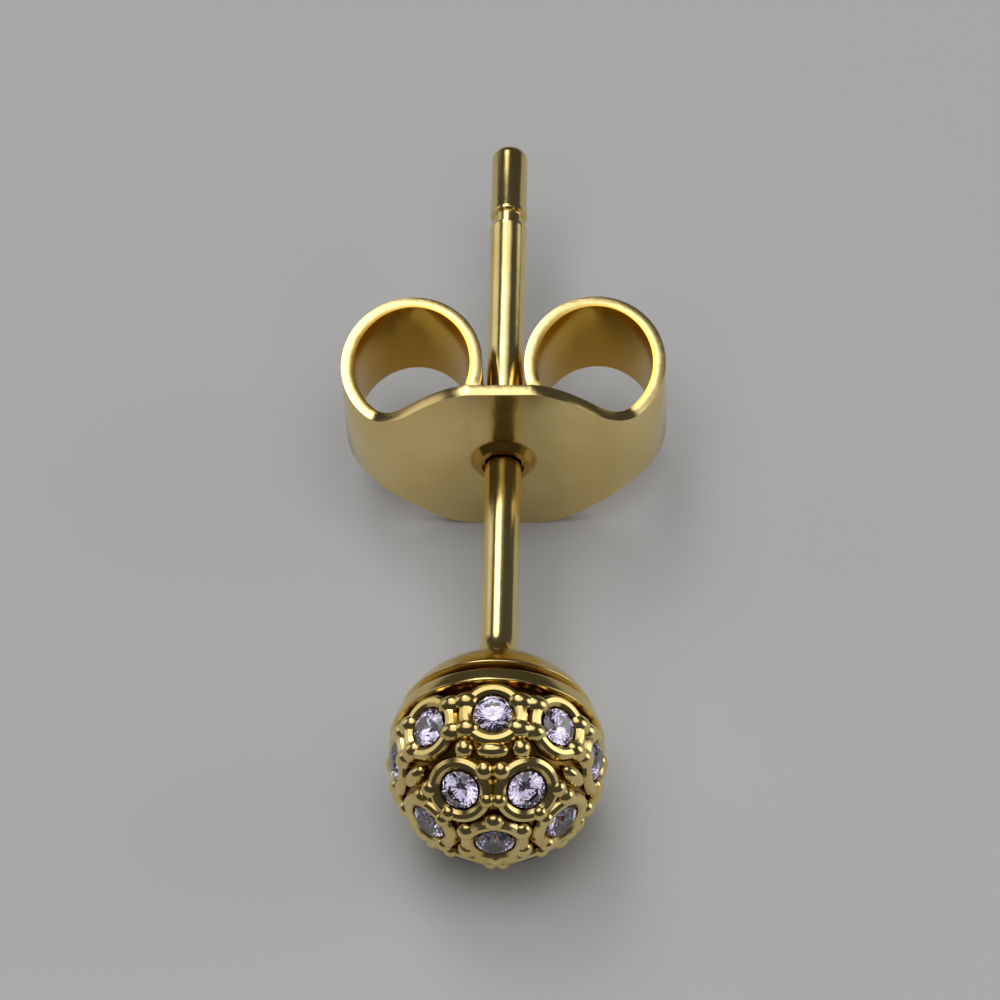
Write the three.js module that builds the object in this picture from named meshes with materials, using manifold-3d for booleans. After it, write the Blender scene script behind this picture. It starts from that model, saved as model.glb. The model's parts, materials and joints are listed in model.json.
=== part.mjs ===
// Ball stud earring: a ball set with rings of small stones, a straight post soldered to it, and a
// butterfly back that grips the post behind the ear lobe.
// Millimetres, +Z up. The earring lies as it rests on a table: on the ball and on the lower edge
// of the butterfly back, with the post running along +Y, away from the ball.
//
// Both pieces are made in the earring's own frame, where the ball's centre is the origin and the
// post lies on +Y. One group at the end lifts them into the resting place.

import * as THREE from 'three';
import { mergeVertices } from 'three/addons/utils/BufferGeometryUtils.js';
import Module from 'manifold-3d';

const wasm = await Module();
wasm.setup();

// ---------------------------------------------------------------- driving dimensions

// Ball. Polar angles are in degrees from the front pole, the point opposite the post.
const BALL_RADIUS = 2.0;
const STONE_PITCH = 40.5;                 // from one ring of stones to the next
const STONES_IN_RING = [1, 6, 9];         // front pole, middle ring, widest ring
const SEAT_RADIUS = 0.45;                 // flat-bottomed pocket that a stone sits in
const SEAT_DEPTH = 0.22;
const GROOVE_DEPTH = 0.07;                // cut line between two rings
const GROOVE_HALF_ANGLE = 2.5;
const BAND_END = 112;                     // plain rail behind the stones ends here
const ARC_STEP = 7;                       // largest step along the ball's profile
const TURN_SEGMENTS = 40;

// Post
const POST_RADIUS = 0.35;
const POST_TIP = 14.5;                    // from the ball's centre to the end of the post
const TIP_ROUNDING = 0.16;
const SOLDER_RADIUS = 0.56;               // foot of the solder fillet, on the ball
const SOLDER_LENGTH = 0.6;
const NOTCH_FROM_TIP = 1.8;               // turned notch that the back snaps over
const NOTCH_WIDTH = 0.3;
const NOTCH_DEPTH = 0.06;

// Butterfly back: one strip of sheet, an oval plate in the middle and a loop at each end
const BACK_POSITION = 6.95;               // from the ball's centre to the middle of the plate
const SHEET = 0.24;                       // sheet thickness
const PLATE_HEIGHT = 2 * BALL_RADIUS;     // across the flats at the top and bottom of the plate
const OVAL_HEIGHT = 4.08;                 // of the oval before those flats
const OVAL_REACH = 2.6;                   // along the strip, where the oval has run out
const OVAL_SHAPE = 1.5;                   // above 1 the oval has fuller shoulders
const STRIP_HEIGHT = 1.86;                // of the strip round the loops
const LOOP_WIDTH = 2.7;                   // outside, across the post
const LOOP_DEPTH = 3.25;                  // outside, along the post, plate included
const LOOP_TO_POST = 0.05;                // gap between a loop and the post
const TAIL_TURN = 38;                     // degrees that the strip's end curls back towards the plate
const TAIL_ROUNDING = 0.5;
const HOLE_RADIUS = 0.4;
const COLLAR_RADIUS = 0.66;               // pierced rim round the hole, on the lobe side
const COLLAR_HEIGHT = 0.16;
const COLLAR_RIM = 0.12;                  // width of the collar's flat top
const STRIP_STEPS = 108;
const HOLE_SEGMENTS = 24;

const degrees = THREE.MathUtils.degToRad;

// ---------------------------------------------------------------- solids

function solidOf(geometry) {
  const bare = geometry.clone();
  bare.deleteAttribute('normal');
  bare.deleteAttribute('uv');
  const merged = mergeVertices(bare, 1e-5);
  return new wasm.Manifold(new wasm.Mesh({
    numProp: 3,
    vertProperties: Float32Array.from(merged.attributes.position.array),
    triVerts: Uint32Array.from(merged.index.array),
  }));
}

function meshOf(name, solid, material) {
  const { vertProperties, triVerts } = solid.getMesh();
  const geometry = new THREE.BufferGeometry();
  geometry.setAttribute('position', new THREE.BufferAttribute(vertProperties, 3));
  geometry.setIndex(new THREE.BufferAttribute(triVerts, 1));
  geometry.computeVertexNormals();
  const mesh = new THREE.Mesh(geometry, material);
  mesh.name = name;
  return mesh;
}

// ---------------------------------------------------------------- ball and post

// A point of the ball's profile, as distance from the axis and place along it.
function onBall(fromPole, depth = 0) {
  const radius = BALL_RADIUS - depth;
  return new THREE.Vector2(radius * Math.sin(degrees(fromPole)), -radius * Math.cos(degrees(fromPole)));
}

function ballArc(from, to) {
  const steps = Math.ceil((to - from) / ARC_STEP);
  return Array.from({ length: steps + 1 }, (_, i) => onBall(from + ((to - from) * i) / steps));
}

// The whole stud is turned from one profile: ball, solder fillet, post, notch and rounded tip.
function turnedProfile() {
  const grooves = [1.5 * STONE_PITCH, 2.5 * STONE_PITCH, BAND_END];
  const solderFoot = 180 - THREE.MathUtils.radToDeg(Math.asin(SOLDER_RADIUS / BALL_RADIUS));
  const profile = [];
  let from = 0;
  for (const groove of grooves) {
    profile.push(...ballArc(from, groove - GROOVE_HALF_ANGLE), onBall(groove, GROOVE_DEPTH));
    from = groove + GROOVE_HALF_ANGLE;
  }
  profile.push(...ballArc(from, solderFoot));
  profile[0].x = 0;

  const postStart = onBall(solderFoot).y + SOLDER_LENGTH;
  const notch = POST_TIP - NOTCH_FROM_TIP;
  const notchRadius = POST_RADIUS - NOTCH_DEPTH;
  profile.push(
    new THREE.Vector2(POST_RADIUS + 0.06, postStart - 0.6 * SOLDER_LENGTH),
    new THREE.Vector2(POST_RADIUS, postStart),
    new THREE.Vector2(POST_RADIUS, notch - NOTCH_WIDTH / 2),
    new THREE.Vector2(notchRadius, notch - NOTCH_WIDTH / 4),
    new THREE.Vector2(notchRadius, notch + NOTCH_WIDTH / 4),
    new THREE.Vector2(POST_RADIUS, notch + NOTCH_WIDTH / 2),
    new THREE.Vector2(POST_RADIUS, POST_TIP - TIP_ROUNDING),
    new THREE.Vector2(POST_RADIUS - 0.3 * TIP_ROUNDING, POST_TIP - 0.3 * TIP_ROUNDING),
    new THREE.Vector2(POST_RADIUS - TIP_ROUNDING, POST_TIP),
    new THREE.Vector2(0, POST_TIP),
  );
  return profile;
}

// Stone seats: short cylinders standing on the ball, cut out of it.
function stoneSeats() {
  const seats = [];
  STONES_IN_RING.forEach((count, ring) => {
    const fromPole = degrees(ring * STONE_PITCH);
    // The widest ring has a stone at the top of the ball, the middle ring a bridge.
    const start = ring === 1 ? 0.5 : 0;
    for (let i = 0; i < count; i++) {
      const around = (2 * Math.PI * (i + start)) / count;
      const outward = new THREE.Vector3(
        Math.sin(fromPole) * Math.sin(around), -Math.cos(fromPole), Math.sin(fromPole) * Math.cos(around));
      const seat = new THREE.CylinderGeometry(SEAT_RADIUS, SEAT_RADIUS, 2 * SEAT_DEPTH, 12);
      const turn = new THREE.Quaternion().setFromUnitVectors(new THREE.Vector3(0, 1, 0), outward);
      seat.applyQuaternion(turn);
      // The pocket's floor is SEAT_DEPTH under the ball's surface at the middle of the seat.
      seat.translate(...outward.multiplyScalar(BALL_RADIUS).toArray());
      seats.push(seat);
    }
  });
  return seats;
}

function makeBallAndPost(material) {
  let stud = solidOf(new THREE.LatheGeometry(turnedProfile(), TURN_SEGMENTS));
  for (const seat of stoneSeats()) {
    stud = stud.subtract(solidOf(seat));
  }
  return meshOf('ball_and_post', stud, material);
}

// ---------------------------------------------------------------- butterfly back

// The strip's middle line seen from above, on the +X side: flat from the hole, then an ellipse out
// round the far side of the loop, back beside the post, and curled in at the end.
function loopLine() {
  const radiusAcross = (LOOP_WIDTH - SHEET) / 2;
  const radiusAlong = (LOOP_DEPTH - SHEET) / 2;
  const middle = POST_RADIUS + LOOP_TO_POST + LOOP_WIDTH / 2;
  const line = new THREE.CurvePath();
  line.add(new THREE.LineCurve(new THREE.Vector2(0, 0), new THREE.Vector2(middle, 0)));
  line.add(new THREE.EllipseCurve(
    middle, radiusAlong, radiusAcross, radiusAlong, -Math.PI / 2, Math.PI + degrees(TAIL_TURN)));
  return line;
}

// Half the strip's height at a distance along it from the hole: a full oval plate, an even strip
// round the loops, and a rounded end.
function halfHeight(along, length) {
  const run = Math.min(along / OVAL_REACH, 1) ** OVAL_SHAPE;
  const oval = (STRIP_HEIGHT + (OVAL_HEIGHT - STRIP_HEIGHT) * Math.cos((run * Math.PI) / 2) ** 2) / 2;
  const toEnd = Math.min((length - along) / TAIL_ROUNDING, 1);
  return Math.min(oval, PLATE_HEIGHT / 2) * Math.sqrt(1 - 0.8 * (1 - toEnd) ** 2);
}

// A long box, bent along the line and shaped in height.
function bentStrip() {
  const line = loopLine();
  const length = line.getLength();
  const strip = new THREE.BoxGeometry(2 * length, SHEET, 2, STRIP_STEPS, 1, 1);
  const at = strip.attributes.position;
  for (let i = 0; i < at.count; i++) {
    const side = Math.sign(at.getX(i)) || 1;
    const along = Math.min(Math.abs(at.getX(i)), length);
    const middle = line.getPointAt(along / length);
    const tangent = line.getTangentAt(along / length);
    // Plus Y of the flat box, its rear face, becomes the inner face of the loops.
    const out = at.getY(i);
    at.setXYZ(i,
      side * (middle.x - tangent.y * out),
      middle.y + tangent.x * out,
      at.getZ(i) * halfHeight(along, length));
  }
  return strip;
}

// A low cone that stands on the plate's lobe side and sinks half a sheet into it.
function collarCone() {
  const length = COLLAR_HEIGHT + SHEET / 2;
  const cone = new THREE.CylinderGeometry(COLLAR_RADIUS, HOLE_RADIUS + COLLAR_RIM, length, HOLE_SEGMENTS);
  return cone.translate(0, -length / 2, 0);
}

function makeButterflyBack(material) {
  const hole = new THREE.CylinderGeometry(HOLE_RADIUS, HOLE_RADIUS, 4 * SHEET, HOLE_SEGMENTS);
  const back = solidOf(bentStrip()).add(solidOf(collarCone())).subtract(solidOf(hole));
  const mesh = meshOf('butterfly_back', back, material);
  mesh.position.y = BACK_POSITION;
  return mesh;
}

// ---------------------------------------------------------------- the earring, at rest

const polishedBall = new THREE.MeshStandardMaterial({ color: '#c9b46f', metalness: 1, roughness: 0.22 });
const polishedBack = new THREE.MeshStandardMaterial({ color: '#bfa965', metalness: 1, roughness: 0.28 });

const earring = new THREE.Group();
earring.add(makeBallAndPost(polishedBall), makeButterflyBack(polishedBack));
// The plate is as high as the ball, so the post lies level. The origin is under the middle of the
// earring's length.
earring.position.set(0, (BALL_RADIUS - POST_TIP) / 2, BALL_RADIUS);

const part = new THREE.Group();
part.add(earring);

export default part;
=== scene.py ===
# %% [markdown]
# # A pavé ball stud earring
#
# The real earring is 16.5 mm long. A 4 mm gold ball is set with three rings of small round stones,
# a straight post is soldered to the back of it, and a butterfly back, one curled strip of sheet,
# slides on the post behind the ear lobe. It lies unworn on a pale table, on the ball and on the
# lower edge of the back.
#
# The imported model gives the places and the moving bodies. Each of its solids is replaced here by
# a finer piece of the same size.

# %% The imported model
import json
import math

import bpy
from mathutils import Matrix, Quaternion, Vector


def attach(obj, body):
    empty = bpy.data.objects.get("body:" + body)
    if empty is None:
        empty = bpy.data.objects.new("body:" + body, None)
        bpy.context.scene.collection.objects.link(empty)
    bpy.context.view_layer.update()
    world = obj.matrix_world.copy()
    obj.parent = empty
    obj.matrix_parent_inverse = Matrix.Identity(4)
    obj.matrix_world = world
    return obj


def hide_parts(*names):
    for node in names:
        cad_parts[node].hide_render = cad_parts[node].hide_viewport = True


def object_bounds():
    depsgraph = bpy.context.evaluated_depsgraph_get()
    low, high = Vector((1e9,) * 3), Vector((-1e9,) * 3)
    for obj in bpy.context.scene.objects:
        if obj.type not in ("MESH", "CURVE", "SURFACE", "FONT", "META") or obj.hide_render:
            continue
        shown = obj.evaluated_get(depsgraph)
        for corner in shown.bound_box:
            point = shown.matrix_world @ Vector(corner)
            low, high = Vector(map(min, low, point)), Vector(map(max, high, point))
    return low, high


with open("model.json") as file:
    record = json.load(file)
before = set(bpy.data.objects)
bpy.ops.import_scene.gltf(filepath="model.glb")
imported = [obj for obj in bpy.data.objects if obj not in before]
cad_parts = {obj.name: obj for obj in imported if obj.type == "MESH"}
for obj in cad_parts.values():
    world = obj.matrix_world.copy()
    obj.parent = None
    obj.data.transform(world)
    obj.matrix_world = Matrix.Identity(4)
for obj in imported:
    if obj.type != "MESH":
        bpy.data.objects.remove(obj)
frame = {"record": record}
cad_low, cad_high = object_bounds()
print("CAD box, mm:", [round(1000 * (h - l), 2) for l, h in zip(cad_low, cad_high)])

# %% [markdown]
# ## The workbench
#
# Something this small is easier to model at a thousand times its size, so one unit on the
# workbench is a millimetre. There the ball's centre is the origin and the post lies on +Y, with +Z
# up. The ball and the plate of the back are equally high, so the post lies level. The record's
# mount, the face of the back that the ear lobe touches, says where along the post everything is.
# When a piece is finished, one matrix scales it down and puts it in place.

# %% The workbench and the resting place
MM = 0.001
BALL_RADIUS = 2.0
BACK_POSITION = 6.95
SHEET = 0.24

lobe_face = Vector(frame["record"]["mounts"][0]["pos_m"])
ball_to_lobe_face = (BACK_POSITION - SHEET / 2) * MM
ball_centre = Vector((0, lobe_face.y - ball_to_lobe_face, lobe_face.z))
TO_REST = Matrix.Translation(ball_centre) @ Matrix.Scale(MM, 4)
print("ball's centre, mm:", [round(1000 * c, 3) for c in ball_centre])


def pick(obj):
    """Selects one object and nothing else, as a click in the viewport does."""
    bpy.ops.object.select_all(action="DESELECT")
    obj.select_set(True)
    bpy.context.view_layer.objects.active = obj


def newest(name):
    """The object that the last primitive made, named, with its turn applied."""
    obj = bpy.context.object
    obj.name = obj.data.name = name
    bpy.ops.object.transform_apply(location=True, rotation=True, scale=True)
    return obj


def copy_of(pattern):
    """A copy of a pattern piece, with its own mesh."""
    copy = pattern.copy()
    copy.data = pattern.data.copy()
    bpy.context.collection.objects.link(copy)
    return copy


def edit_faces(obj, wanted):
    """Opens edit mode on the faces whose middle passes the test."""
    pick(obj)
    mesh = obj.data
    for part in (mesh.vertices, mesh.edges):
        part.foreach_set("select", [False] * len(part))
    mesh.polygons.foreach_set("select", [bool(wanted(face.center)) for face in mesh.polygons])
    bpy.context.tool_settings.mesh_select_mode = (False, False, True)
    bpy.ops.object.mode_set(mode="EDIT")


def edit_points(obj, wanted):
    """Opens edit mode on the points that pass the test."""
    pick(obj)
    mesh = obj.data
    for part in (mesh.edges, mesh.polygons):
        part.foreach_set("select", [False] * len(part))
    mesh.vertices.foreach_set("select", [bool(wanted(point.co)) for point in mesh.vertices])
    bpy.context.tool_settings.mesh_select_mode = (True, False, False)
    bpy.ops.object.mode_set(mode="EDIT")


def done_editing():
    """Leaves edit mode."""
    bpy.ops.object.mode_set(mode="OBJECT")


def modify(obj, kind, **settings):
    """Adds a modifier and applies it."""
    pick(obj)
    modifier = obj.modifiers.new(kind.title(), kind)
    for key, value in settings.items():
        setattr(modifier, key, value)
    bpy.ops.object.modifier_apply(modifier=modifier.name)


def joined(name, objects):
    """Several objects as one, under a new name."""
    bpy.ops.object.select_all(action="DESELECT")
    for obj in objects:
        obj.select_set(True)
    bpy.context.view_layer.objects.active = objects[0]
    bpy.ops.object.join()
    objects[0].name = objects[0].data.name = name
    return objects[0]


# Points closer together than this, in mm, are merged after a boolean.
SLIVER = 0.0005
# A pinhole has at most this many edges round it.
PINHOLE_SIDES = 8


def cut(obj, tool, operation="DIFFERENCE", **settings):
    """Cuts with a tool object, or unites with it, and throws the tool and the slivers away."""
    modify(obj, "BOOLEAN", object=tool, operation=operation, solver="EXACT", **settings)
    bpy.data.objects.remove(tool)
    edit_points(obj, lambda point: True)
    bpy.ops.mesh.remove_doubles(threshold=SLIVER)
    bpy.ops.mesh.dissolve_degenerate(threshold=SLIVER)
    done_editing()


def outer_shell(obj):
    """Fills pinholes and keeps only the outer shell, without hollows sealed in by a union."""
    edit_points(obj, lambda point: True)
    bpy.ops.mesh.fill_holes(sides=PINHOLE_SIDES)
    done_editing()
    bpy.ops.mesh.separate(type="LOOSE")
    shells = sorted(bpy.context.selected_objects, key=lambda shell: len(shell.data.vertices))
    for hollow in shells[:-1]:
        bpy.data.objects.remove(hollow)
    return shells[-1]


def put_in_place(obj, smooth_angle):
    """Scales a finished piece down and moves it from the workbench to where it rests."""
    pick(obj)
    if smooth_angle:
        bpy.ops.object.shade_smooth_by_angle(angle=math.radians(smooth_angle))
    obj.matrix_world = TO_REST
    bpy.ops.object.transform_apply(location=True, rotation=True, scale=True)
    triangles = sum(len(face.vertices) - 2 for face in obj.data.polygons)
    print(obj.name, triangles, "triangles")


# %% [markdown]
# ## The turned ball
#
# A setter turns the ball a little smaller where the stones go, from its front to just past its
# widest place. Behind that paved zone runs a plain rail with a cut line at each side, and a
# smooth cap closes the ball round the post.
#
# Polar angles are counted from the front of the ball, the point opposite the post. A UV sphere
# with a ring of faces every 1.5 degrees has an edge wherever the zone or a cut line starts or
# ends. Those bands of faces are extruded inwards, which leaves true steps, and a bevel then
# rounds every edge as polishing does.

# %% Turning the ball
FACE_STEP = 1.5
PAVED_END = 97.5
PAVED_DEPTH = 0.19
LINE_DEPTH = 0.03
BALL_EDGE = 0.04

# Where each cut line starts and ends, in degrees from the front of the ball.
CUT_LINES = [(PAVED_END, 100.5), (109.5, 117.0)]


def from_pole(point):
    """The polar angle of a point of the ball, in degrees from its front."""
    return math.degrees(math.acos(max(-1, min(1, -point.y / point.length))))


def in_paved_zone(point):
    """Whether a point is where the stones go."""
    return from_pole(point) < PAVED_END


def in_cut_line(point):
    """Whether a point is in one of the lines cut round the ball."""
    return any(start < from_pole(point) < end for start, end in CUT_LINES)


bpy.ops.object.select_all(action="DESELECT")
bpy.ops.mesh.primitive_uv_sphere_add(
    segments=144, ring_count=round(180 / FACE_STEP), radius=BALL_RADIUS,
    rotation=(-math.pi / 2, 0, 0))
ball = newest("ball")
for band, depth in ((in_paved_zone, PAVED_DEPTH), (in_cut_line, PAVED_DEPTH + LINE_DEPTH)):
    edit_faces(ball, band)
    bpy.ops.mesh.extrude_region_shrink_fatten(TRANSFORM_OT_shrink_fatten={"value": -depth})
    done_editing()
modify(ball, "BEVEL", width=BALL_EDGE, segments=3, limit_method="ANGLE",
       angle_limit=math.radians(35))
print("turned ball:", len(ball.data.polygons), "faces")

# %% [markdown]
# ## The post
#
# The post is drawn wire, 0.7 mm thick, with a fillet of solder at its foot and a turned notch near
# its tip that the back snaps over. It is drawn as a lathe would cut it: a circle at the foot,
# extruded and scaled from one station to the next. The table gives each station's radius and
# its distance from the ball's centre.

# %% Turning the post
POST_RADIUS = 0.35
POST_TIP = 14.5
NOTCH = POST_TIP - 1.8

POST_STATIONS = [
    # radius, along
    (0.62, 1.78), (0.59, 1.92), (0.52, 2.00), (0.46, 2.11),
    (0.40, 2.27), (0.365, 2.42), (0.35, 2.56),
    (0.35, NOTCH - 0.26), (0.362, NOTCH - 0.22), (0.356, NOTCH - 0.16), (0.29, NOTCH - 0.12),
    (0.29, NOTCH + 0.12), (0.356, NOTCH + 0.16), (0.362, NOTCH + 0.22), (0.35, NOTCH + 0.26),
    (0.35, POST_TIP - 0.18), (0.34, POST_TIP - 0.11), (0.31, POST_TIP - 0.05),
    (0.26, POST_TIP - 0.012), (0.18, POST_TIP),
]

bpy.ops.object.select_all(action="DESELECT")
foot_radius, foot_along = POST_STATIONS[0]
bpy.ops.mesh.primitive_circle_add(
    vertices=64, radius=foot_radius, fill_type="NGON", location=(0, foot_along, 0),
    rotation=(-math.pi / 2, 0, 0))
post = newest("post")
edit_faces(post, lambda middle: True)
radius, along = foot_radius, foot_along
for next_radius, next_along in POST_STATIONS[1:]:
    bpy.ops.mesh.extrude_region_move(TRANSFORM_OT_translate={"value": (0, next_along - along, 0)})
    scale = next_radius / radius
    bpy.ops.transform.resize(value=(scale, 1, scale))
    radius, along = next_radius, next_along
bpy.ops.mesh.select_all(action="SELECT")
bpy.ops.mesh.normals_make_consistent(inside=False)
done_editing()
cut(ball, post, "UNION")

# %% [markdown]
# ## Where the stones stand
#
# One stone stands at the front of the ball, six round it and nine in the widest ring, so that the
# distance from stone to stone is the same 1.4 mm everywhere. The widest ring has a stone at the
# very top and the middle ring a bridge there. A function gives the place and the turn of each
# stone: its own +Z points out of the ball, and its own +X runs along the ring.

# %% The places of the stones
RING_PITCH = 40.5
RINGS = [0.0, RING_PITCH, 2 * RING_PITCH]
STONES_IN_RING = [1, 6, 9]
STONE_RADIUS = 0.35


def on_ball(polar, around, depth=0.0):
    """A point on the ball, or under it: around is 0 at the top, and both angles are in degrees."""
    polar, around = math.radians(polar), math.radians(around)
    out = Vector((math.sin(polar) * math.sin(around), -math.cos(polar),
                  math.sin(polar) * math.cos(around)))
    return out * (BALL_RADIUS - depth)


def stone_places():
    """Polar angle and angle around of every stone."""
    places = []
    for ring, count in enumerate(STONES_IN_RING):
        first = 0.5 if ring == 1 else 0.0
        for i in range(count):
            places.append((RINGS[ring], 360 * (i + first) / count))
    return places


def stand_on_ball(obj, polar, around, depth=0.0):
    """Stands an object on the ball with its +Z outwards and its +X along the ring."""
    out = on_ball(polar, around).normalized()
    along = Vector((math.cos(math.radians(around)), 0, -math.sin(math.radians(around))))
    pick(obj)
    obj.rotation_mode = "QUATERNION"
    obj.rotation_quaternion = Matrix((along, out.cross(along), out)).transposed().to_quaternion()
    obj.location = on_ball(polar, around, depth)
    bpy.ops.object.transform_apply(location=True, rotation=True, scale=True)


PLACES = stone_places()
print(len(PLACES), "stones")

# %% [markdown]
# ## The seats
#
# Each stone sits in a drilled hole: straight at the mouth and a cone below, which leaves room for
# the pointed underside of the stone. The drill is a cylinder whose lower face is drawn out to a
# cone. It is made once, copied to every place, and cut from the ball in one boolean.

# %% Drilling the seats
GIRDLE_DEPTH = 0.15
SEAT_GAP = 0.012
SEAT_SHOULDER = 0.03
MOUTH_HEIGHT = 0.4
CONE_DEPTH = 0.42
CONE_TIP = 0.06

bpy.ops.object.select_all(action="DESELECT")
bpy.ops.mesh.primitive_cylinder_add(
    vertices=40, radius=STONE_RADIUS + SEAT_GAP, depth=MOUTH_HEIGHT,
    location=(0, 0, MOUTH_HEIGHT / 2))
drill = newest("drill")
edit_faces(drill, lambda middle: middle.z < 0.001)
bpy.ops.mesh.extrude_region_move(TRANSFORM_OT_translate={"value": (0, 0, -CONE_DEPTH)})
bpy.ops.transform.resize(value=(CONE_TIP, CONE_TIP, 1))
done_editing()

drills = []
for polar, around in PLACES:
    drills.append(copy_of(drill))
    stand_on_ball(drills[-1], polar, around, GIRDLE_DEPTH + SEAT_SHOULDER)
bpy.data.objects.remove(drill)
cut(ball, joined("drills", drills))
print("ball with its seats:", len(ball.data.polygons), "faces")

# %% [markdown]
# ## Rims and beads
#
# Round every stone the graver leaves a rim of gold, and between the stones it raises beads, which
# a hollow punch rounds. Four beads hold a stone, so each bridge between two stones of a ring has a
# cluster of four. In the wider places between the middle ring and the widest one a short bar is
# left standing, and every second bar has a bead at each end.
#
# A rim is a torus, half sunk in the ball, a bead is a small sphere whose side just laps over the
# edge of its stone, and a bar is a stretched sphere. One torus and one sphere are made, and the
# rest are copies, each with its own size and stretch.

# %% Raising the rims and the beads
RIM_WIDTH = 0.27
RIM_SUNK = 0.03
BEAD_RADIUS = 0.19
BEAD_STRETCH = 1.3
BEAD_PROUD = 0.04
BEAD_ALONG = 0.54
BEAD_ACROSS = 0.29
INNER_BEAD = 0.8
FRONT_BEAD_POLAR = 18.0
BAR_POLAR = 59.5
BAR_RADIUS = 0.15
BAR_STRETCH = 2.0
CORNER_BEAD = 0.19
CORNER_SWING = 18.0
CORNER_POLAR = 62.0


def bead_places():
    """Polar angle, angle around, radius and stretch along the ring of every bead and bar."""
    beads = []
    for polar, around in PLACES:
        if polar == 0:
            continue
        ring_radius = BALL_RADIUS * math.sin(math.radians(polar))
        swing = math.degrees(BEAD_ALONG / ring_radius)
        rise = math.degrees(BEAD_ACROSS / BALL_RADIUS)
        for side in (-1, 1):
            for way in (-1, 1):
                size = INNER_BEAD if way < 0 and polar == RING_PITCH else 1.0
                beads.append((polar + way * rise, around + side * swing, BEAD_RADIUS * size,
                              BEAD_STRETCH if polar > RING_PITCH else 1.0))
    for i in range(STONES_IN_RING[1]):
        bridge = 360 * i / STONES_IN_RING[1]
        beads.append((FRONT_BEAD_POLAR, bridge, BEAD_RADIUS, 1.0))
        beads.append((BAR_POLAR, bridge, BAR_RADIUS, BAR_STRETCH))
        if i % 2 == 0:
            for side in (-1, 1):
                beads.append((CORNER_POLAR, bridge + side * CORNER_SWING, CORNER_BEAD, 1.0))
    return beads


rim_radius = STONE_RADIUS + SEAT_GAP + RIM_WIDTH / 2
bpy.ops.object.select_all(action="DESELECT")
bpy.ops.mesh.primitive_torus_add(
    major_radius=rim_radius, minor_radius=RIM_WIDTH / 2, major_segments=40, minor_segments=10)
rim = newest("rim")
bpy.ops.object.select_all(action="DESELECT")
bpy.ops.mesh.primitive_uv_sphere_add(segments=24, ring_count=12, radius=1)
bead = newest("bead")

# The ball falls away from a flat ring by this much.
fall = rim_radius ** 2 / (2 * BALL_RADIUS)
grains = []
for polar, around in PLACES:
    grains.append(copy_of(rim))
    stand_on_ball(grains[-1], polar, around, fall + RIM_WIDTH / 2 + RIM_SUNK)
for polar, around, radius, stretch in bead_places():
    grains.append(copy_of(bead))
    grains[-1].scale = (radius * stretch, radius, radius)
    stand_on_ball(grains[-1], polar, around, radius - BEAD_PROUD)
print(len(grains), "rims, beads and bars")
bpy.data.objects.remove(rim)
bpy.data.objects.remove(bead)
cut(ball, joined("rims_and_beads", grains), "UNION", use_self=True)
reach = max(point.co.y for point in ball.data.vertices)
print("set ball:", len(ball.data.polygons), "faces, and the post reaches", round(reach, 2), "mm")

# %% Putting the stud in place
# Edges flatter than this many degrees are shaded smooth.
STUD_SMOOTH = 32

stud = outer_shell(ball)
stud.name = stud.data.name = "gold_ball_and_post"
put_in_place(stud, STUD_SMOOTH)
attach(stud, "stud")
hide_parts("ball_and_post")

# %% [markdown]
# ## The stones
#
# They are round brilliants of cubic zirconia, 0.7 mm across: a flat table, a crown of facets, a
# thin girdle and a pointed pavilion. All the corners of a brilliant lie on a few circles, so
# the circles are added one by one and a convex hull closes the flat facets between them. The
# facets stay flat shaded, because they are what makes the stone sparkle.

# %% Cutting the stones
TABLE = 0.56
CROWN_HEIGHT = 0.30
PAVILION_DEPTH = 0.86
LOWER_FACETS_END = 0.24
HALF_GIRDLE = 0.02

# Setters don't line the facets up, so each stone is turned by this much more than the last.
TURN_STEP = 17

# The circles that the brilliant's corners lie on, as shares of its radius.
pavilion_slope = PAVILION_DEPTH * math.cos(math.pi / 8)
BRILLIANT = [
    # count, radius, height, turn in degrees
    (8, TABLE, CROWN_HEIGHT, 22.5),
    (8, 0.79, 0.185, 0.0),
    (16, 1.0, HALF_GIRDLE, 0.0),
    (16, 1.0, -HALF_GIRDLE, 0.0),
    (8, LOWER_FACETS_END, pavilion_slope * LOWER_FACETS_END - PAVILION_DEPTH - HALF_GIRDLE, 22.5),
    (3, 0.01, -HALF_GIRDLE - PAVILION_DEPTH, 0.0),
]


def cut_brilliant(radius):
    """One stone, with its table up and the middle of its girdle at the origin."""
    circles = []
    for count, out, height, turn in BRILLIANT:
        bpy.ops.object.select_all(action="DESELECT")
        bpy.ops.mesh.primitive_circle_add(
            vertices=count, radius=out * radius, location=(0, 0, height * radius),
            rotation=(0, 0, math.radians(turn)))
        circles.append(newest("circle"))
    stone = joined("stone", circles)
    edit_points(stone, lambda point: True)
    bpy.ops.mesh.convex_hull()
    bpy.ops.mesh.normals_make_consistent(inside=False)
    done_editing()
    return stone


pattern = cut_brilliant(STONE_RADIUS)
stones = []
for number, (polar, around) in enumerate(PLACES):
    stone = copy_of(pattern)
    pick(stone)
    stone.rotation_euler.z = math.radians(TURN_STEP * number)
    bpy.ops.object.transform_apply(rotation=True)
    stand_on_ball(stone, polar, around, GIRDLE_DEPTH)
    stones.append(stone)
bpy.data.objects.remove(pattern)
stones = joined("clear_stones", stones)
put_in_place(stones, 0)
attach(stones, "stud")

# %% [markdown]
# ## The butterfly back
#
# The real back is stamped from sheet as a flat blank, an oval with a tail at each side, and
# then curled. It is made the same way here: a grid is shaped to the blank column by column, a Curve
# modifier bends it round the loops, and Solidify gives it the thickness of the sheet. The collar
# round the hole is what the piercing punch pushes up, and a bevel rounds the stamped edges.
#
# The line that the strip follows, seen from above, is flat across the front and then an ellipse:
# out round the loop, back beside the post and curled in at the end. One side is worked out and
# the other is its mirror image.

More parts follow.
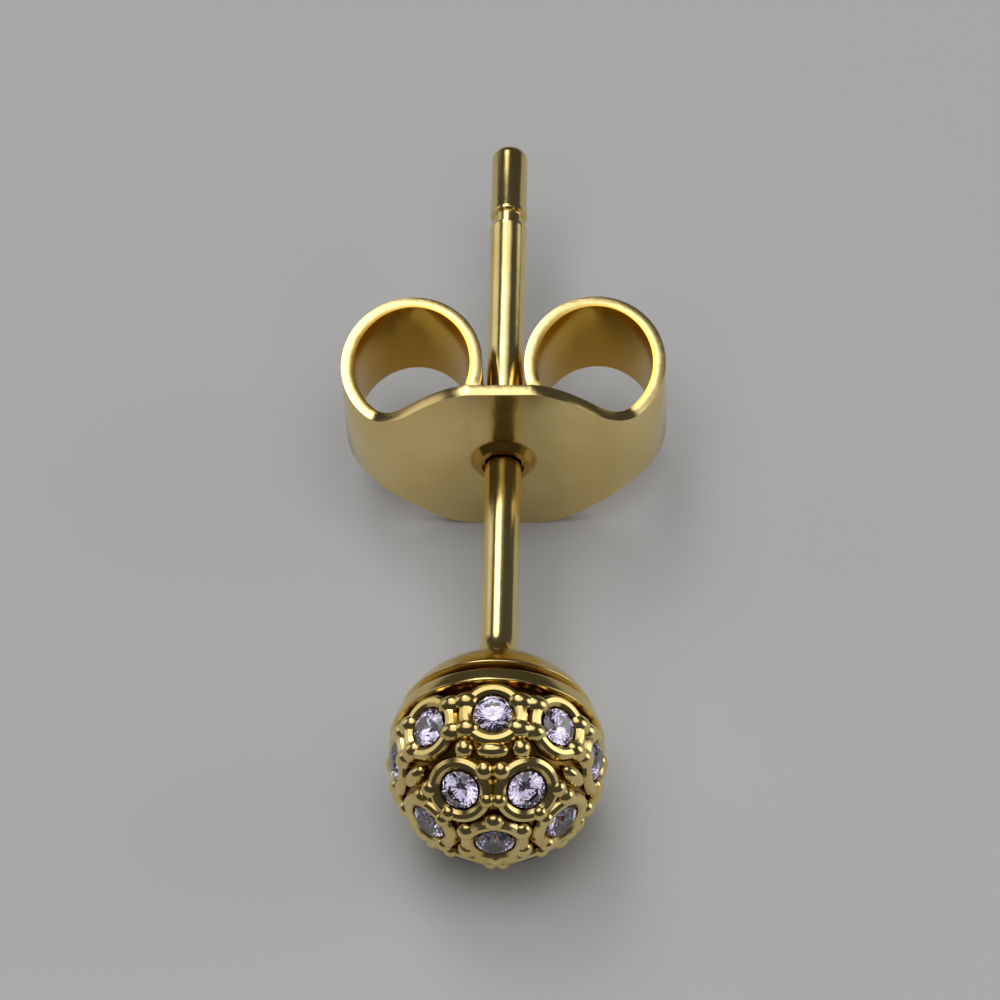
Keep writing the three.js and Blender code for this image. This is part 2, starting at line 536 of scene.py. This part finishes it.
# %% The line of the strip
PLATE_HEIGHT = 2 * BALL_RADIUS
OVAL_HEIGHT = 4.08
OVAL_REACH = 2.6
OVAL_SHAPE = 1.5
STRIP_HEIGHT = 1.86
LOOP_WIDTH = 2.7
LOOP_DEPTH = 3.25
LOOP_TO_POST = 0.05
TAIL_TURN = 38.0
TAIL_ROUNDING = 0.5
LOOP_POINTS = 120
BLANK_COLUMNS = 260

loop_across = (LOOP_WIDTH - SHEET) / 2
loop_along = (LOOP_DEPTH - SHEET) / 2
loop_middle = POST_RADIUS + LOOP_TO_POST + LOOP_WIDTH / 2
right = [Vector((0, 0)), Vector((loop_middle / 2, 0))]
for i in range(LOOP_POINTS + 1):
    angle = math.radians(-90 + (270 + TAIL_TURN) * i / LOOP_POINTS)
    right.append(Vector((loop_middle + loop_across * math.cos(angle),
                         loop_along + loop_along * math.sin(angle))))
left = [Vector((-point.x, point.y)) for point in right[:0:-1]]
half_blank = sum((b - a).length for a, b in zip(right, right[1:]))
print("blank:", round(2 * half_blank, 2), "mm long")

# %% The blank


def half_height(along):
    """Half the blank's height: a full oval, an even strip, and a rounded end."""
    run = min(along / OVAL_REACH, 1) ** OVAL_SHAPE
    oval = (STRIP_HEIGHT + (OVAL_HEIGHT - STRIP_HEIGHT) * math.cos(run * math.pi / 2) ** 2) / 2
    to_end = min((half_blank - along) / TAIL_ROUNDING, 1)
    return min(oval, PLATE_HEIGHT / 2) * math.sqrt(max(0.2, 1 - 0.8 * (1 - to_end) ** 2))


bpy.ops.object.select_all(action="DESELECT")
bpy.ops.mesh.primitive_grid_add(
    x_subdivisions=BLANK_COLUMNS, y_subdivisions=1, size=2, rotation=(math.pi / 2, 0, 0))
back = newest("butterfly_back_gold")
column = 2 / BLANK_COLUMNS
for i in range(BLANK_COLUMNS + 1):
    x = -1 + i * column
    edit_points(back, lambda point: abs(point.x - x) < column / 4)
    bpy.ops.transform.resize(value=(1, 1, half_height(abs(x) * half_blank)))
    done_editing()
edit_points(back, lambda point: True)
bpy.ops.transform.resize(value=(half_blank, 1, 1))
done_editing()

# %% Curling the blank
line = bpy.data.curves.new("strip_line", "CURVE")
line.dimensions = "2D"
spline = line.splines.new("POLY")
spline.points.add(len(left) + len(right) - 1)
for point, place in zip(spline.points, left + right):
    point.co = (place.x, place.y, 0, 1)
line_object = bpy.data.objects.new("strip_line", line)
bpy.context.collection.objects.link(line_object)

# A Curve modifier starts at the curve's first point, so the blank is moved to start there too.
pick(back)
back.location.x = half_blank
bpy.ops.object.transform_apply(location=True)
modify(back, "CURVE", object=line_object, deform_axis="POS_X")
bpy.data.objects.remove(line_object)
modify(back, "SOLIDIFY", thickness=SHEET, offset=0, use_even_offset=True)
print("curled back, mm:", [round(side, 2) for side in back.dimensions])

# %% The pierced hole and its collar
HOLE_RADIUS = 0.4
COLLAR_RADIUS = 0.66
COLLAR_HEIGHT = 0.16
COLLAR_RIM = 0.1
STAMPED_EDGE = 0.05
# Edges flatter than this many degrees are shaded smooth.
BACK_SMOOTH = 30

bpy.ops.object.select_all(action="DESELECT")
collar_length = COLLAR_HEIGHT + SHEET / 2
bpy.ops.mesh.primitive_cone_add(
    vertices=64, radius1=COLLAR_RADIUS, radius2=HOLE_RADIUS + COLLAR_RIM, depth=collar_length,
    location=(0, -collar_length / 2, 0), rotation=(math.pi / 2, 0, 0))
cut(back, newest("collar"), "UNION")
bpy.ops.object.select_all(action="DESELECT")
bpy.ops.mesh.primitive_cylinder_add(
    vertices=64, radius=HOLE_RADIUS, depth=4 * SHEET, rotation=(math.pi / 2, 0, 0))
cut(back, newest("punch"))
modify(back, "BEVEL", width=STAMPED_EDGE, segments=3, limit_method="ANGLE",
       angle_limit=math.radians(40))
pick(back)
back.location.y = BACK_POSITION
bpy.ops.object.transform_apply(location=True)
put_in_place(back, BACK_SMOOTH)
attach(back, "back")
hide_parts("butterfly_back")

# %% [markdown]
# ## Finishes
#
# Colours are sRGB hex values, as a colour picker shows them, and one function turns them to the
# linear values that Blender works in. One more function adds a node with its settings and links.

# %% Helpers for the finishes


def colour(hex_value):
    """An sRGB hex colour as linear RGBA."""
    channels = [int(hex_value[i:i + 2], 16) / 255 for i in (1, 3, 5)]
    linear = [c / 12.92 if c <= 0.04045 else ((c + 0.055) / 1.055) ** 2.4 for c in channels]
    return (*linear, 1.0)


def add(tree, kind, settings=None, *in_order, **by_name):
    """Adds a node. Settings are its options. Values go to its inputs in order or by name, and one
    that is itself a socket is linked."""
    node = tree.nodes.new(kind)
    for key, value in (settings or {}).items():
        setattr(node, key, value)
    pairs = list(zip(node.inputs, in_order))
    pairs += [(node.inputs[key.replace("_", " ")], value) for key, value in by_name.items()]
    for socket, value in pairs:
        if isinstance(value, bpy.types.NodeSocket):
            tree.links.new(value, socket)
        else:
            socket.default_value = value
    return node


def new_material(name):
    """A material with an empty node tree, and the tree."""
    material = bpy.data.materials.new(name)
    material.use_nodes = True
    material.node_tree.nodes.clear()
    return material, material.node_tree


def give(piece, material):
    """Puts one material all over a piece."""
    piece.data.materials.clear()
    piece.data.materials.append(material)


def per_metre(size_mm):
    """A pattern's scale for features of this size."""
    return 1 / (size_mm * MM)


# %% [markdown]
# ### Gold plate
#
# A thin layer of pale yellow gold, plated on brass and polished on a felt wheel. It is a metal,
# so its colour is the colour of its reflections. Polishing leaves fine hairlines and a slight
# orange-peel unevenness, which break up the reflections, and the plate's colour is a little
# redder in some places than in others. The back is tumbled rather than polished by hand, so its
# faces are satin. Both finishes come from one function, and each has its own light and shade
# painted into its colour in hidden places.

# %% A gold finish
TONE_PATCH = 1.4
WEAR_PATCH = 0.35
ORANGE_PEEL = 0.5
ORANGE_PEEL_DEPTH = 0.02
# Real hairlines are a few microns wide; these are as coarse as they need to be to show.
HAIRLINE = 0.16
HAIRLINE_DEPTH = 0.004
HAIRLINE_STRETCH = (1.0, 9.0, 1.6)


def gold_plate(name, pale, deep, low_rough, high_rough, scratch, paint_light_and_shade):
    """Gold plate between two colours and two roughnesses, with a function that paints light and
    shade into its colour.
    """
    material, tree = new_material(name)
    where = add(tree, "ShaderNodeTexCoord").outputs["Object"]
    patches = add(tree, "ShaderNodeTexNoise", Vector=where, Scale=per_metre(TONE_PATCH), Detail=3.0)
    tone = add(tree, "ShaderNodeValToRGB", Fac=patches.outputs["Fac"])
    low, high = tone.color_ramp.elements
    low.position, low.color = 0.3, colour(deep)
    high.position, high.color = 0.7, colour(pale)
    # Painted shade and painted reflection are added to the colour here.
    plate_colour = paint_light_and_shade(tree, where, tone.outputs["Color"])
    wear = add(tree, "ShaderNodeTexNoise", Vector=where, Scale=per_metre(WEAR_PATCH), Detail=5.0)
    rough = add(tree, "ShaderNodeMapRange", Value=wear.outputs["Fac"],
                To_Min=low_rough, To_Max=high_rough)
    waves = add(tree, "ShaderNodeTexNoise", Vector=where, Scale=per_metre(ORANGE_PEEL), Detail=2.0)
    soft = add(tree, "ShaderNodeBump", Height=waves.outputs["Fac"], Strength=0.25,
               Distance=ORANGE_PEEL_DEPTH * MM)
    stretched = add(tree, "ShaderNodeMapping", Vector=where, Scale=HAIRLINE_STRETCH)
    lines = add(tree, "ShaderNodeTexNoise", Vector=stretched.outputs["Vector"],
                Scale=per_metre(HAIRLINE), Detail=4.0, Roughness=0.7)
    fine = add(tree, "ShaderNodeBump", Height=lines.outputs["Fac"], Strength=scratch,
               Distance=HAIRLINE_DEPTH * MM, Normal=soft.outputs["Normal"])
    shader = add(tree, "ShaderNodeBsdfPrincipled", Base_Color=plate_colour, Metallic=1.0,
                 Roughness=rough.outputs["Result"], Normal=fine.outputs["Normal"])
    add(tree, "ShaderNodeOutputMaterial", Surface=shader.outputs[0])
    return material


# %% [markdown]
# Shade is painted between the rims and the beads, so the ball's gold is made browner down there.
# How far a point lies from the ball's centre says how deep it is.

# %% The ball and the post
RECESS_FROM = (BALL_RADIUS - 0.9 * PAVED_DEPTH) * MM
RECESS_TO = (BALL_RADIUS - 0.35 * PAVED_DEPTH) * MM


def painted_recess_shade(tree, where, gold):
    """The plate's colour with painted shade: browner where it is deep."""
    from_centre = add(tree, "ShaderNodeVectorMath", {"operation": "DISTANCE"}, where, ball_centre)
    out_of_shade = add(tree, "ShaderNodeMapRange", Value=from_centre.outputs["Value"],
                From_Min=RECESS_FROM, From_Max=RECESS_TO)
    # Painted shade: the gold turns brown in the deep places between the rims and the beads.
    return add(tree, "ShaderNodeMix", {"data_type": "RGBA"}, Factor=out_of_shade.outputs["Result"],
               A=colour("#9a7434"), B=gold).outputs["Result"]


# The ball's gold has shade painted into its recesses.
polished_gold = gold_plate("polished_gold_plate", "#f3dd98", "#e3c67c", 0.1, 0.2, 0.3, painted_recess_shade)
give(stud, polished_gold)

# %% [markdown]
# Gold reflecting gold is painted inside the loops as a more orange colour, and shade is painted
# on the collar as a darker orange-brown. The strip's middle line is an ellipse, and squeezed to a
# circle of radius 1 it tells the inside of a loop from the outside. The collar is found by its
# distance from the post's axis.

# %% The butterfly back
def painted_loop_reflection_and_collar_shade(tree, where, gold):
    """The plate's colour with painted reflection, more orange inside the loops, and painted shade, a
    darker orange-brown on the collar.
    """
    parts = add(tree, "ShaderNodeSeparateXYZ", Vector=where)
    across = add(tree, "ShaderNodeMath", {"operation": "ABSOLUTE"}, parts.outputs["X"])
    flat = add(tree, "ShaderNodeCombineXYZ", X=across.outputs[0], Y=parts.outputs["Y"])
    loop_centre = Vector((loop_middle * MM, ball_centre.y + (BACK_POSITION + loop_along) * MM, 0))
    from_loop = add(tree, "ShaderNodeVectorMath", {"operation": "SUBTRACT"},
                    flat.outputs[0], loop_centre)
    unit = add(tree, "ShaderNodeVectorMath", {"operation": "MULTIPLY"},
               from_loop.outputs[0], (1 / (loop_across * MM), 1 / (loop_along * MM), 0))
    radius = add(tree, "ShaderNodeVectorMath", {"operation": "LENGTH"}, unit.outputs[0])
    outside = add(tree, "ShaderNodeMapRange", Value=radius.outputs["Value"],
                  From_Min=0.93, From_Max=0.97)
    # Painted reflection: gold seen in gold, a more orange colour inside the loops.
    loops = add(tree, "ShaderNodeMix", {"data_type": "RGBA"}, Factor=outside.outputs["Result"],
                A=colour("#dcae46"), B=gold)
    upright = add(tree, "ShaderNodeCombineXYZ", X=parts.outputs["X"], Z=parts.outputs["Z"])
    from_post = add(tree, "ShaderNodeVectorMath", {"operation": "DISTANCE"},
                    upright.outputs[0], (0, 0, ball_centre.z))
    past_collar = add(tree, "ShaderNodeMapRange", Value=from_post.outputs["Value"],
                      From_Min=0.9 * COLLAR_RADIUS * MM, From_Max=COLLAR_RADIUS * MM)
    # Painted shade: a darker orange-brown on the collar round the post.
    return add(tree, "ShaderNodeMix", {"data_type": "RGBA"}, Factor=past_collar.outputs["Result"],
               A=colour("#bd9544"), B=loops.outputs["Result"]).outputs["Result"]


# The back has reflection painted inside its loops and shade painted on its collar.
satin_gold = gold_plate("satin_gold_plate", "#f3db98", "#e5c985", 0.09, 0.17, 0.45, painted_loop_reflection_and_collar_shade)
give(back, satin_gold)

# %% [markdown]
# ### Cubic zirconia
#
# A clear cut crystal with a refractive index of 2.15, far above glass, so that light that
# enters through the table is thrown back by the facets below. It is colourless with a faint
# lilac cast from its fire.

# %% Stone finish
zirconia, tree = new_material("cubic_zirconia")
gem = add(tree, "ShaderNodeBsdfPrincipled", Base_Color=colour("#c8bfdc"), Roughness=0.0, IOR=2.15,
          Transmission_Weight=1.0)
add(tree, "ShaderNodeOutputMaterial", Surface=gem.outputs[0])
give(stones, zirconia)

# %% [markdown]
# ## The table
#
# A smooth pale grey board, large enough to fill every view, with a barely uneven tone.

# %% The table top
CLOUD_SIZE = 30

bpy.ops.object.select_all(action="DESELECT")
bpy.ops.mesh.primitive_plane_add(size=3.0)
table = newest("table_top")
board, tree = new_material("pale_grey_board")
where = add(tree, "ShaderNodeTexCoord").outputs["Object"]
cloud = add(tree, "ShaderNodeTexNoise", Vector=where, Scale=per_metre(CLOUD_SIZE), Detail=2.0)
shade = add(tree, "ShaderNodeValToRGB", Fac=cloud.outputs["Fac"])
shade.color_ramp.elements[0].color = colour("#b0b0b0")
shade.color_ramp.elements[1].color = colour("#b6b6b6")
surface = add(tree, "ShaderNodeBsdfPrincipled", Base_Color=shade.outputs["Color"], Roughness=0.6)
add(tree, "ShaderNodeOutputMaterial", Surface=surface.outputs[0])
give(table, board)

# %% [markdown]
# ## Light
#
# Polished metal shows what stands round it, so the light is a dim room with soft bright panels in
# it: a large one overhead, a window high behind the earring, which draws the streak along the
# post, and a lower one at each side. The dark room between the panels gives the gold its deep
# reflections.

# %% The room
world = bpy.data.worlds.new("studio")
bpy.context.scene.world = world
world.use_nodes = True
tree = world.node_tree
tree.nodes.clear()
direction = add(tree, "ShaderNodeTexCoord").outputs["Generated"]


def patch(towards, inner, outer, strength):
    """A soft round patch of light: full inside one angle and gone outside the other."""
    facing = add(tree, "ShaderNodeVectorMath", {"operation": "DOT_PRODUCT"},
                 direction, Vector(towards).normalized())
    edge = add(tree, "ShaderNodeMapRange", {"interpolation_type": "SMOOTHSTEP"},
               Value=facing.outputs["Value"], From_Min=math.cos(math.radians(outer)),
               From_Max=math.cos(math.radians(inner)), To_Min=0.0, To_Max=strength)
    return edge.outputs["Result"]


AMBIENT = 0.06
ROOM_PATCHES = [
    # towards, full inside this angle, gone outside this one, strength
    ((-0.1, 0.14, 1), 18, 35, 1.2),
    ((-0.24, 0.6, 0.72), 10, 15, 2.7),
    ((-0.9, 0.45, 0.3), 12, 24, 0.7),
    ((0.95, 0.1, 0.3), 10, 26, 1.7),
]
total = AMBIENT
for towards, inner, outer, strength in ROOM_PATCHES:
    glow = patch(towards, inner, outer, strength)
    total = add(tree, "ShaderNodeMath", {"operation": "ADD"}, glow, total).outputs[0]
sky = add(tree, "ShaderNodeBackground", Color=colour("#ffffff"), Strength=total)
add(tree, "ShaderNodeOutputWorld", Surface=sky.outputs[0])
print(len(ROOM_PATCHES), "patches of light in the room")

# %% [markdown]
# The table needs more light than these panels give. It comes from one wide lamp, above and in
# front of the earring, that reflections don't show, so that the gold keeps its dark places.

# %% The lamp over the table
LAMP_HEIGHT = 0.4
LAMP_FORWARD = 0.2
LAMP_SIZE = 0.55
LAMP_WATTS = 1.12

lamp_data = bpy.data.lights.new("wide_lamp", "AREA")
lamp_data.size = LAMP_SIZE
lamp_data.energy = LAMP_WATTS
lamp = bpy.data.objects.new("wide_lamp", lamp_data)
lamp.location = (0, -LAMP_FORWARD, LAMP_HEIGHT)
lamp.visible_glossy = False
bpy.context.collection.objects.link(lamp)

# %% [markdown]
# ## The camera
#
# It stands close and high in front of the ball, a little to its right, and looks down along
# the post. The lens frames the whole earring.

# %% The camera
CAMERA_AZIMUTH = 3.48
CAMERA_ELEVATION = 52.9
CAMERA_DISTANCE = 97.1 * MM
CAMERA_ROLL = -3.06
CAMERA_AIM = Vector((-0.04, -0.47, 0.1)) * MM
LENS = 185.0

aim = (cad_low + cad_high) / 2 + CAMERA_AIM
azimuth, elevation = math.radians(CAMERA_AZIMUTH), math.radians(CAMERA_ELEVATION)
away = Vector((math.sin(azimuth) * math.cos(elevation), -math.cos(azimuth) * math.cos(elevation),
               math.sin(elevation)))
camera_data = bpy.data.cameras.new("camera")
camera_data.lens = LENS
camera_data.sensor_width = 36.0
camera_data.clip_start = 1 * MM
camera = bpy.data.objects.new("camera", camera_data)
bpy.context.collection.objects.link(camera)
camera.location = aim + away * CAMERA_DISTANCE
camera.rotation_mode = "QUATERNION"
camera.rotation_quaternion = ((-away).to_track_quat("-Z", "Y")
                              @ Quaternion((0, 0, 1), math.radians(CAMERA_ROLL)))
bpy.context.scene.camera = camera
bpy.context.scene.view_settings.view_transform = "Standard"
